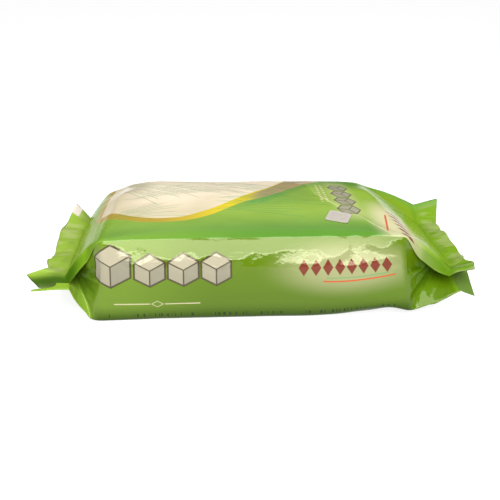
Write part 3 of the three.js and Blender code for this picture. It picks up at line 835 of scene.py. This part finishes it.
class Ink:
    """Builds a material. A colour is a field, three numbers or the name of one of the colours."""

    def __init__(self, name, colours):
        self.colours = colours
        self.material = bpy.data.materials.new(name)
        self.material.use_nodes = True
        self.tree = self.material.node_tree
        self.shader = self.tree.nodes["Principled BSDF"]

    def node(self, kind, **settings):
        made = self.tree.nodes.new(kind)
        for name, value in settings.items():
            setattr(made, name, value)
        return made

    def feed(self, socket, value):
        """Links a field to a socket, or sets the socket to a number or a colour."""
        if isinstance(value, str):
            value = getattr(self.colours, value)
        if isinstance(value, Field):
            self.tree.links.new(value.socket, socket)
        elif hasattr(value, "__len__"):
            socket.default_value = (*value, 1.0)
        else:
            socket.default_value = value

    def made_with(self, node, output=0, **values):
        """A node's output, with its inputs fed by name: spaces are written as underscores."""
        for name, value in values.items():
            self.feed(node.inputs[name.replace("_", " ")], value)
        return Field(self, node.outputs[output])

    def finish(self, name, value):
        """Sets one of the surface's own values."""
        self.feed(self.shader.inputs[name], value)

    def math(self, operation, *values, clamp=False):
        made = self.node("ShaderNodeMath", operation=operation, use_clamp=clamp)
        for socket, value in zip(made.inputs, values):
            self.feed(socket, value)
        return Field(self, made.outputs[0])

    def most(self, a, b):
        return self.math("MAXIMUM", a, b)

    def least(self, a, b):
        return self.math("MINIMUM", a, b)

    def rising(self, value, edge, soft):
        """0 below the edge and 1 above it."""
        made = self.node("ShaderNodeMapRange", interpolation_type="SMOOTHSTEP")
        return self.made_with(
            made, "Result", Value=value, From_Min=edge - soft, From_Max=edge + soft
        )

    def falling(self, value, edge, soft):
        return 1.0 - self.rising(value, edge, soft)

    def band(self, value, low, high, soft):
        return self.rising(value, low, soft) * self.falling(value, high, soft)

    def radius(self, dx, dy):
        return self.math("SQRT", dx * dx + dy * dy)

    def oval(self, x, y, centre, radii, soft):
        reach = self.radius((x - centre[0]) / radii[0], (y - centre[1]) / radii[1])
        return self.falling(reach, 1.0, soft)

    def paint(self, under, over, cover):
        made = self.node("ShaderNodeMix", data_type="RGBA", blend_type="MIX")
        return self.made_with(made, "Result", Factor=cover, A=under, B=over)

    def noise(self, vector, scale, detail=2.0, roughness=0.5):
        made = self.node("ShaderNodeTexNoise")
        return self.made_with(
            made, "Fac", Vector=vector, Scale=scale, Detail=detail, Roughness=roughness
        )

    def together(self, x, y):
        return self.made_with(self.node("ShaderNodeCombineXYZ"), X=x, Y=y)

    def flat_place(self, uv_map):
        """The place on a UV map, as one field and as its two parts."""
        place = Field(self, self.node("ShaderNodeUVMap", uv_map=uv_map).outputs["UV"])
        split = self.node("ShaderNodeSeparateXYZ")
        x = self.made_with(split, "X", Vector=place)
        return place, x, Field(self, split.outputs["Y"])

    def line(self, value, start, stop, low, high, knots):
        """A smooth line through knots, in the frame from start to stop and from low to high."""
        made = self.node("ShaderNodeFloatCurve")
        points = made.mapping.curves[0].points
        while len(points) < len(knots):
            points.new(0.5, 0.5)
        for point, (at, to) in zip(points, knots):
            point.location = ((at - start) / (stop - start), (to - low) / (high - low))
        made.mapping.update()
        share = self.math("DIVIDE", value - start, stop - start, clamp=True)
        return self.made_with(made, Value=share) * (high - low) + low

    def relief(self, height, strength, millimetres):
        """Roughens the surface by a field of heights from 0 to 1."""
        bump = self.node("ShaderNodeBump")
        self.finish("Normal", self.made_with(
            bump, "Normal", Strength=strength, Distance=millimetres * MM, Height=height
        ))

    def cube(self, x, y, radius):
        """An isometric cube round the origin of x and y: (inside, dark lines, tone)."""
        slope = math.sqrt(3) / 2
        wide = abs(x)
        reach = self.most(wide, wide * 0.5 + abs(y) * slope)
        inside = self.falling(reach, radius * slope, 0.25)
        rim = self.falling(abs(reach - (radius * slope - 0.2)), 0.55, 0.2)
        spine = self.falling(wide, 0.4, 0.2) * self.falling(y, 0.0, 0.1)
        arms = self.falling(abs(y * slope - wide * 0.5), 0.36, 0.2)
        lines = self.most(rim, inside * self.most(spine, arms))
        lid = self.rising(y * (2 * slope) - wide, 0.0, 0.2)
        tone = self.most(lid, 0.55 - self.rising(x, 0.0, 0.1) * 0.4)
        return inside, lines, tone

    def spray(self, x, y, sway, x0, y0, first, pitch, count, start, reach, bend):
        """Thin strokes that fan out from a point, each with its own length and bend."""
        dx, dy = x - x0, y - y0
        radius = self.radius(dx, dy)
        angle = self.math("ARCTAN2", dy, dx) + radius * bend + (sway - 0.5) * 0.08
        step = math.radians(pitch)
        turn = (angle - math.radians(first)) / step
        index = self.math("FLOOR", turn)
        offset = (turn - index - 0.5) * radius * step
        lot = self.node("ShaderNodeTexWhiteNoise", noise_dimensions="1D")
        lot = self.made_with(lot, "Value", W=index + x0 * 1.7)
        begin, end = start + lot * (0.4 * reach), reach - lot * (0.35 * reach)
        along = self.rising(radius - begin, 0.0, 1.0) * self.rising(end - radius, 0.0, 3.0)
        chosen = self.rising(turn, 0.0, 0.01) * self.falling(turn, count, 0.01)
        return self.falling(abs(offset), 0.28, 0.18) * along * chosen


# Sprays of strokes: (middle x, y, first angle, angle between strokes, strokes, start, reach, bend),
# in millimetres and degrees on the front panel.
SPRAYS = (
    (-130, 66, -38, 1.7, 16, 34, 118, 0.002),
    (-120, 10, -13, 2.6, 9, 30, 104, -0.003),
    (-96, 56, -26, 1.7, 13, 30, 112, 0.001),
    (-60, 62, -36, 2.0, 12, 34, 104, 0.002),
    (-40, -16, -8, 4.2, 8, 14, 74, 0.002),
    (-40, 0, -15, 2.3, 11, 14, 92, -0.001),
    (56, 10, 188, 3.4, 8, 20, 74, 0.003),
    (-104, -34, 14, 3.4, 9, 12, 66, 0.003),
)
# Painted highlights: thin pale streaks along the stretched film of both slopes, in the same form.
SLOPE_GLINT_STREAKS = (
    (-124, -68, 52, 2.4, 14, 18, 104, 0.001),
    (128, -70, 102, 6.0, 5, 18, 96, 0.001),
)
# Outer and inner line of the gold edge, as y over u, and the frame that both lie in.
GOLD_FRAME = (-105, 60, -58, 62)
GOLD_OUTER = (
    (-105, -10), (-96, -18), (-89, -26), (-78, -31), (-68, -36), (-56, -38.5), (-44, -37.5),
    (-32, -32), (-16, -17), (-8, -8), (3, 0), (12, 8), (26, 24), (45, 44), (60, 62),
)
GOLD_INNER = (
    (-105, -2), (-95, -11), (-83, -20), (-68, -29), (-50, -32), (-34, -24),
    (-12, -1), (0, 14), (9, 25), (20, 44), (29, 60), (60, 62),
)
# The ridge across the right end of the front panel, as u over y, and its frame.
RIDGE_FRAME = (-65, 60, 0, 100)
RIDGE = ((-63, 84), (-50, 76), (-33, 67), (-23, 58.5), (-9, 50.5), (8, 43), (40, 37), (60, 34))


class FilmPrint(Ink):
    """The bag's printed film, with painted shade and highlights. Each method lays its part of the
    print over what is there.

    Places are in millimetres: u along the film, s and out round it from the front panel's middle
    line, y across the front panel towards the far side, and z up the side panel.
    """

    def __init__(self, bag, colours):
        super().__init__("printed_film", colours)
        self.bag = bag
        _, along, around = self.flat_place("Film")
        self.u = (along - 0.5) * (2 * bag.film_end)
        self.s = (around - 0.5) * bag.loop
        self.y = self.s * -1.0
        self.out = abs(self.s)
        self.distance = abs(self.u)
        self.film_mm = self.together(self.u, self.s)
        self.edge = bag.half_width + bag.film
        self.low_edge = self.edge + bag.height
        self.on_front = self.falling(self.out, self.edge + 0.1, 0.4)
        self.drift = self.noise(self.film_mm, 0.02)
        self.foot = self.band(self.out, self.low_edge - 5, self.low_edge + 4, 7)
        self.foot *= self.falling(self.distance, 90, 4)
        self.beyond = self.u - self.line(self.y, *RIDGE_FRAME, RIDGE)
        for part in (self.ground, self.cream, self.strokes, self.right_end, self.side, self.back):
            part()
        self.finish("Base Color", self.colour)
        self.gloss()

    def lay(self, colour_over, cover):
        self.colour = self.paint(self.colour, colour_over, cover)

    def ground(self):
        """Greens of the side panels, of the front panel and of the ends, with painted shade and
        painted highlights laid over them.
        """
        u, s, out, distance = self.u, self.s, self.out, self.distance
        edge, fin_start, on_front = self.edge, self.bag.fin_start, self.on_front
        side = self.paint("side_upper", "side_lower", self.rising(out, edge + 30, 22))
        side = self.paint(side, "front_light", self.falling(u, -50, 30) * 0.25)
        inward = self.falling(out + self.drift * 6.0, 42, 20)
        front = self.paint("front_edge", "front_light", inward)
        front = self.paint(front, "front_light", self.falling(u, -30, 40) * 0.3)
        front = self.paint(front, "front_end", self.rising(distance, 92, 12))
        self.colour = self.paint(side, front, on_front)
        self.lay("front_end", self.rising(distance, fin_start - 2, 3))
        self.lay("fin_green_and_strip_shade", self.rising(u, fin_start - 3, 4) * self.falling(out, edge, 1) * 0.65)
        # The folded strips of the upper flaps, darkened by painted shade, and the fins.
        right_strip_shade = self.band(s, 51, 61, 3) * self.rising(u, 98, 8)
        self.lay("fin_green_and_strip_shade", right_strip_shade * 0.9)
        self.lay("recess", right_strip_shade * 0.35)
        self.lay("fin_green_and_strip_shade", self.band(s, 52, 61, 3) * self.falling(u, -94, 6) * 0.9)
        self.lay("pale", self.falling(u, -fin_start, 3) * on_front * 0.08)
        # Painted reflections: pale streaks across the fins, from the seal to the free edge.
        fin_glint_streaks = self.rising(self.noise(self.together(u * 0.25, s), 0.16, 1.0), 0.52, 0.08)
        self.lay("pale", fin_glint_streaks * self.rising(distance, fin_start + 3, 3) * on_front * 0.2)
        # Shade in the tucks and above the floor, and what catches the light between them.
        recess = self.rising(distance, 96, 6) * self.band(out, edge + 17, edge + 37, 5)
        self.lay("recess", recess * 0.5)
        self.lay("side_foot_shade", self.foot * 0.92)
        facet = self.falling(u, -92, 6) * self.band(s, edge + 40, edge + 64, 4)
        self.lay("front_light", facet * 0.5)
        # Painted shade on the left folded strip, which faces down out of the light.
        self.lay("recess", self.band(s, 50, 61, 4) * self.falling(u, -110, 10) * 0.8)
        patchy = self.rising(self.noise(self.film_mm, 0.08, 1.0), 0.52, 0.12)
        patches = self.band(distance, fin_start - 1, fin_start + 7, 2) * patchy * 0.2
        low_flap = self.rising(u, fin_start - 2, 2) * self.band(out, edge + 26, edge + 56, 1)
        self.lay("seal_green", self.most(patches, low_flap * 0.9))

    def cream(self):
        """The cream field, with an edge of gold that turns to bronze towards the far side."""
        u, y, on_front = self.u, self.y, self.on_front
        inner_end = u + 103.0
        over = self.least(y - self.line(u, *GOLD_FRAME, GOLD_OUTER), inner_end)
        inside = self.least(y - self.line(u, *GOLD_FRAME, GOLD_INNER), inner_end - 5.0)
        shaded = self.rising(u, 0, 7) * self.falling(inside, -2.2, 1)
        gilt = self.paint("gold", "bronze", shaded)
        gilt = self.paint(gilt, "gold_shade", self.falling(u, -36, 25))
        beside = self.rising(over, -9, 6) * self.rising(u, -6, 12) * on_front
        self.lay("shadow_green", beside * 0.85)
        self.lay(gilt, self.rising(over, 0, 0.5) * on_front)
        field = self.paint("cream", "pale", self.drift * 0.6)
        field = self.paint(field, "pale", self.falling(inside, 22, 16) * self.falling(u, -20, 20))
        field = self.paint(field, "pale", self.oval(u, y, (-52, 2), (52, 30), 0.8) * 0.22)
        self.lay(field, self.rising(inside, 0, 0.5) * on_front)
        self.lay("label", self.falling(u, -135.5, 0.5) * self.rising(y, 51, 0.4) * on_front)

    def strokes(self):
        """Sprays of thin bent strokes over the cream field and the green, and the pale streaks of
        painted highlight on the slopes.
        """
        sway = self.noise(self.film_mm, 0.03, 1.0)
        off_fins = self.falling(self.distance, self.bag.fin_start - 1, 3)
        for sprays, name, cover in ((SPRAYS, "stroke", 0.6), (SLOPE_GLINT_STREAKS, "pale", off_fins * 0.25)):
            marks = 0.0
            for spray in sprays:
                marks = self.most(marks, self.spray(self.u, self.y, sway, *spray))
            self.lay(name, marks * self.on_front * cover)

    def right_end(self):
        """A paler ribbon, a painted highlight along the ridge, cubes, dashes, and a glow with
        lozenges on the front panel.
        """
        u, y, on_front, beyond = self.u, self.y, self.on_front, self.beyond
        ribbon = self.rising(beyond, 0.3, 0.6) * self.falling(beyond, 33, 9)
        self.lay("pale", ribbon * on_front * 0.1)
        lean = u - (y * 0.04 + 63.0)
        self.lay("pale", self.band(lean, -9, 9, 4) * self.band(y, -36, 48, 8) * on_front * 0.25)
        # Painted highlight: a thin pale line along the ridge's crest.
        ridge = self.band(beyond, -0.2, 0.9, 0.5) * self.band(y, -60, 10, 12)
        self.lay("pale", ridge * on_front * 0.55)
        inside, lines, _ = self.cube((y + 29.0) % 16.5 - 8.25, lean, 8.6)
        row = self.band(y, -29, 37, 0.2) * on_front
        self.lay("silver", inside * row * 0.85)
        self.lay("outline", lines * row * 0.65)
        dashes = self.band(y % 5.5, 1.2, 4.4, 0.3) * self.band(y, -8, 36, 0.3) * on_front
        for start in (44.5, 48.5):
            self.lay("pale", dashes * self.band(u - y * 0.02, start, start + 1.7, 0.3) * 0.7)
        self.lay("pale", self.oval(u, y, (89, -37), (13, 30), 0.6) * on_front * 0.75)
        lozenge = abs(u - 92.5) * 0.52 + abs((y + 59.0) % 7.2 - 3.6)
        marks = self.falling(lozenge, 2.7, 0.3) * self.band(y, -59, -16, 0.2)
        self.lay("lozenge", marks * on_front * 0.85)
        rule = self.band(u - (y + 27.0) * 0.19, 84.6, 85.8, 0.2) * self.band(y, -54, -27, 0.6)
        self.lay("orange", rule * on_front * 0.85)

    def side(self):
        """Cubes, a rule with a diamond, and a glow with lozenges on the near side panel."""
        u = self.u
        z = self.low_edge - self.out
        on_side = self.rising(self.s, self.edge, 0.3) * self.falling(self.s, self.low_edge, 0.3)
        first, pitch, count = -69.5, 18.4, 3
        row = self.band(u, first, first + count * pitch, 0.1)
        for across, up, radius, where in (
            (u + 82.0, 35.5, 13.2, self.falling(u, -70, 0.1)),
            ((u - first) % pitch - pitch / 2, 33.0, 10.0, row),
        ):
            inside, lines, tone = self.cube(across, z - up, radius)
            where *= on_side
            silver = self.paint("silver", "pale", tone * 0.35)
            silver = self.paint(silver, "outline", (1.0 - tone) * 0.2)
            self.lay(silver, inside * where * 0.95)
            self.lay("outline", lines * where * 0.88)
        diamond = abs(u + 56.5) + abs(z - 11.75) * 1.6
        rule = self.band(u, -80, -33, 0.3) * self.band(z, 11.4, 12.1, 0.15)
        rule = self.most(
            rule * self.rising(diamond, 4.4, 0.2), self.falling(abs(diamond - 3.2), 0.35, 0.2)
        )
        self.lay("pale", rule * on_side * 0.8)
        glow = self.oval(u, z, (53, 32.5), (35, 13.5), 0.6) * self.falling(u, 86, 2)
        self.lay("pale", glow * on_side * 0.38)
        first, pitch, count = 23.0, 7.1, 8
        lozenge = abs((u - first) % pitch - pitch / 2) + abs(z - 33.2) * 0.62
        marks = self.falling(lozenge, 3.1, 0.25) * self.band(u, first, first + count * pitch, 0.1)
        self.lay("lozenge", marks * on_side * 0.92)
        bowed = z - (u - 52.0) * (u - 52.0) * 0.003
        for name, start, stop, low, high, cover in (
            ("stroke", 40, 76, 26.0, 26.6, 0.5), ("orange", 38, 81, 23.6, 24.5, 0.9),
        ):
            bow = self.band(u, start, stop, 0.6) * self.band(bowed, low, high, 0.15)
            self.lay(name, bow * on_side * cover)

    def back(self):
        """Small dark bars above the side panel's lower edge, painted shade under the raised near
        edge, and the back's pale block of bars.
        """
        u, low_edge = self.u, self.low_edge
        bars = self.rising(self.noise(self.together(u, 0.0), 0.6, 1.0), 0.55, 0.01)
        bars *= self.rising(self.noise(self.together(u, 7.0), 0.09, 1.0), 0.47, 0.02)
        bars *= self.falling(self.distance, 84, 0.5)
        self.lay("fine_print_and_shade", bars * self.band(self.out, low_edge - 5, low_edge - 2.6, 0.2) * 0.85)
        depth = self.out - low_edge
        # Painted shade: a dark patch on the back panel just past the near lower edge, where that
        # edge is raised off the floor.
        self.lay("fine_print_and_shade", self.band(depth, 1.5, 16, 1) * self.band(u, 64, 93, 6) * 0.9)
        self.lay("pale", self.band(depth, 14, 52, 0.4) * self.band(u, -70, 64, 0.4) * 0.85)
        pitch = 4.2
        rows = self.band(depth % pitch, 1.0, 2.4, 0.15) * self.band(depth, 18, 48, 0.2)
        row_number = self.math("FLOOR", depth / pitch)
        broken = self.rising(self.noise(self.together(u, row_number), 0.24, 1.0), 0.44, 0.02)
        self.lay("fine_print_and_shade", rows * self.band(u, -64, 58, 0.3) * broken * 0.7)

    def gloss(self):
        """Shine and small relief of the film: less shine where it would mirror the far floor."""
        out, distance, beyond, edge = self.out, self.distance, self.beyond, self.edge
        sloping = self.most(self.rising(distance, 86, 5), self.rising(beyond, -2, 3))
        sloping *= self.falling(out, edge - 1, 2)
        tucked = self.rising(distance, 92, 5) * self.rising(out, edge - 2, 2)
        shoulder = self.rising(self.u, 40, 40) * self.band(out, edge, edge + 24, 6)
        dulled = sloping * 0.39 + self.foot * 0.3 + tucked * 0.2 + shoulder * 0.12
        self.finish("Specular IOR Level", self.most(0.4 - dulled, 0.01))
        self.finish("Specular Tint", (1.0, 0.97, 0.7))
        self.finish("Roughness", self.noise(self.film_mm, 0.35, 3.0) * 0.12 + 0.07)
        grains = self.noise(self.film_mm, 0.75, 3.0, 0.6)
        grains *= self.falling(distance, self.bag.body_half, 6) * self.falling(beyond, 0, 3)
        folds = self.noise(self.film_mm, 0.16, 3.0, 0.55)
        folds *= self.falling(beyond * self.falling(out, edge - 2, 2), 0, 3)
        creased = self.rising(distance, 90, 3) * self.rising(out, edge - 4, 4)
        creased = self.most(self.band(out, edge, edge + 18, 4), creased)
        creased *= abs(self.noise(self.film_mm, 0.22) - 0.5)
        self.relief(grains * 0.04 + folds * 0.16 - creased * 0.7, 0.55, 0.6)


def silver_label(colours):
    ink = Ink("silver_label", colours)
    place, x, y = ink.flat_place("Face")
    rows = ink.band((y * 7.0) % 1.0, 0.3, 0.62, 0.08) * ink.band(y, 0.14, 0.86, 0.02)
    broken = ink.rising(ink.noise(ink.together(x * 9.0, y * 7.0), 1.4, 1.0), 0.5, 0.05)
    speckle = ink.noise(place, 60.0, 3.0)
    marks = rows * broken * ink.band(x, 0.12, 0.88, 0.02)
    face = ink.paint("label", "label_mark", marks * 0.55)
    ink.finish("Base Color", ink.paint(face, "label_mark", speckle * 0.25))
    ink.finish("Metallic", 0.35)
    ink.finish("Roughness", speckle * 0.15 + 0.3)
    ink.relief(speckle, 0.2, 0.2)
    return ink.material


# Stage


class PACKET_OT_set_stage(bpy.types.Operator):
    """Lays the floor and sets the lights and the camera"""

    bl_idname = "packet.set_stage"
    bl_label = "Set stage"

    TARGET = Vector((-3.5, 0, 20.5)) * MM
    # Name, the power's setting, size and place of each light.
    LIGHTS = (
        ("front_light", "front", (0.8, 1.12), (0.05, -0.56, 0.72)),
        ("strip_light", "strip", (1.2, 0.14), (0.05, -1.0, 0.35)),
    )
    ROOM_FOOT = 0.14  # brightness of the room near the horizon, as a share of the brightness above
    ROOM_RISE = (0.25, 0.8)  # heights on the sky between which it brightens
    FLOOR_HALF = 6
    PAPER = (0.55, 0.55, 0.55)

    def execute(self, context):
        look = context.scene.packet_stage
        self.lay_floor(look)
        self.light_room(context, look)
        for name, setting, size, place in self.LIGHTS:
            self.add_light(context, name, getattr(look, setting), size, Vector(place))
        self.set_camera(context, look)
        context.scene.view_settings.view_transform = "Standard"
        return {"FINISHED"}

    def lay_floor(self, look):
        bm = bmesh.new()
        bmesh.ops.create_grid(bm, x_segments=4, y_segments=4, size=self.FLOOR_HALF)
        mesh_data = bpy.data.meshes.new("floor")
        bm.to_mesh(mesh_data)
        bm.free()
        floor = bpy.data.objects.new("floor", mesh_data)
        bpy.context.scene.collection.objects.link(floor)
        ink = Ink("floor_paper", look)
        place = Field(ink, ink.node("ShaderNodeTexCoord").outputs["Object"])
        paper = ink.paint("floor", self.PAPER, ink.noise(place, 300.0) * 0.2)
        for name, value in (
            ("Base Color", paper), ("Emission Color", (1, 1, 1)), ("Roughness", 0.9),
            ("Emission Strength", look.floor_glow), ("Specular IOR Level", 0.0),
        ):
            ink.finish(name, value)
        mesh_data.materials.append(ink.material)

    def light_room(self, context, look):
        world = bpy.data.worlds.new("room")
        world.use_nodes = True
        tree = world.node_tree
        background = tree.nodes["Background"]
        background.inputs["Color"].default_value = (1, 1, 1, 1)
        split = tree.nodes.new("ShaderNodeSeparateXYZ")
        tree.links.new(tree.nodes.new("ShaderNodeTexCoord").outputs["Generated"], split.inputs[0])
        rise = tree.nodes.new("ShaderNodeMapRange")
        rise.interpolation_type = "SMOOTHSTEP"
        for name, value in (
            ("From Min", self.ROOM_RISE[0]), ("From Max", self.ROOM_RISE[1]),
            ("To Min", self.ROOM_FOOT * look.room), ("To Max", look.room),
        ):
            rise.inputs[name].default_value = value
        tree.links.new(split.outputs["Z"], rise.inputs["Value"])
        tree.links.new(rise.outputs["Result"], background.inputs["Strength"])
        context.scene.world = world

    def add_light(self, context, name, power, size, place):
        data = bpy.data.lights.new(name, "AREA")
        data.shape = "RECTANGLE"
        data.size, data.size_y = size
        data.energy = power
        lamp = bpy.data.objects.new(name, data)
        lamp.location = place
        lamp.rotation_euler = (self.TARGET - place).to_track_quat("-Z", "Y").to_euler()
        context.scene.collection.objects.link(lamp)

    def set_camera(self, context, look):
        data = bpy.data.cameras.new("camera")
        data.sensor_width = 36
        data.lens = look.lens
        data.clip_start, data.clip_end = 0.01, 50
        camera = bpy.data.objects.new("camera", data)
        flat = math.cos(look.elevation)
        back = Vector((
            math.sin(look.azimuth) * flat, -math.cos(look.azimuth) * flat, math.sin(look.elevation),
        ))
        camera.location = self.TARGET + back * look.distance
        camera.rotation_euler = (-back).to_track_quat("-Z", "Y").to_euler()
        context.scene.collection.objects.link(camera)
        context.scene.camera = camera


class PACKET_PT_sidebar(bpy.types.Panel):
    """Lists the pieces of the packet and their sizes and colours"""

    bl_label = "Sugar packet"
    bl_idname = "PACKET_PT_sidebar"
    bl_space_type = "VIEW_3D"
    bl_region_type = "UI"
    bl_category = "Sugar packet"

    def draw(self, context):
        for group, operator in (
            ("packet_bag", "packet.make_bag"),
            ("packet_label", "packet.stick_label"),
            ("packet_print", None),
            ("packet_stage", "packet.set_stage"),
        ):
            box = self.layout.box()
            settings = getattr(context.scene, group)
            for name in settings.__annotations__:
                box.prop(settings, name)
            if operator:
                box.operator(operator)


CLASSES = (
    *GROUPS.values(),
    PACKET_OT_make_bag,
    PACKET_OT_stick_label,
    PACKET_OT_set_stage,
    PACKET_PT_sidebar,
)


def register():
    for made in CLASSES:
        bpy.utils.register_class(made)
    for name, group in GROUPS.items():
        setattr(bpy.types.Scene, name, PointerProperty(type=group))


def unregister():
    for name in GROUPS:
        delattr(bpy.types.Scene, name)
    for made in reversed(CLASSES):
        bpy.utils.unregister_class(made)


def main():
    register()
    bpy.ops.packet.make_bag()
    bpy.ops.packet.stick_label()
    bpy.ops.packet.set_stage()


if __name__ == "__main__":
    main()
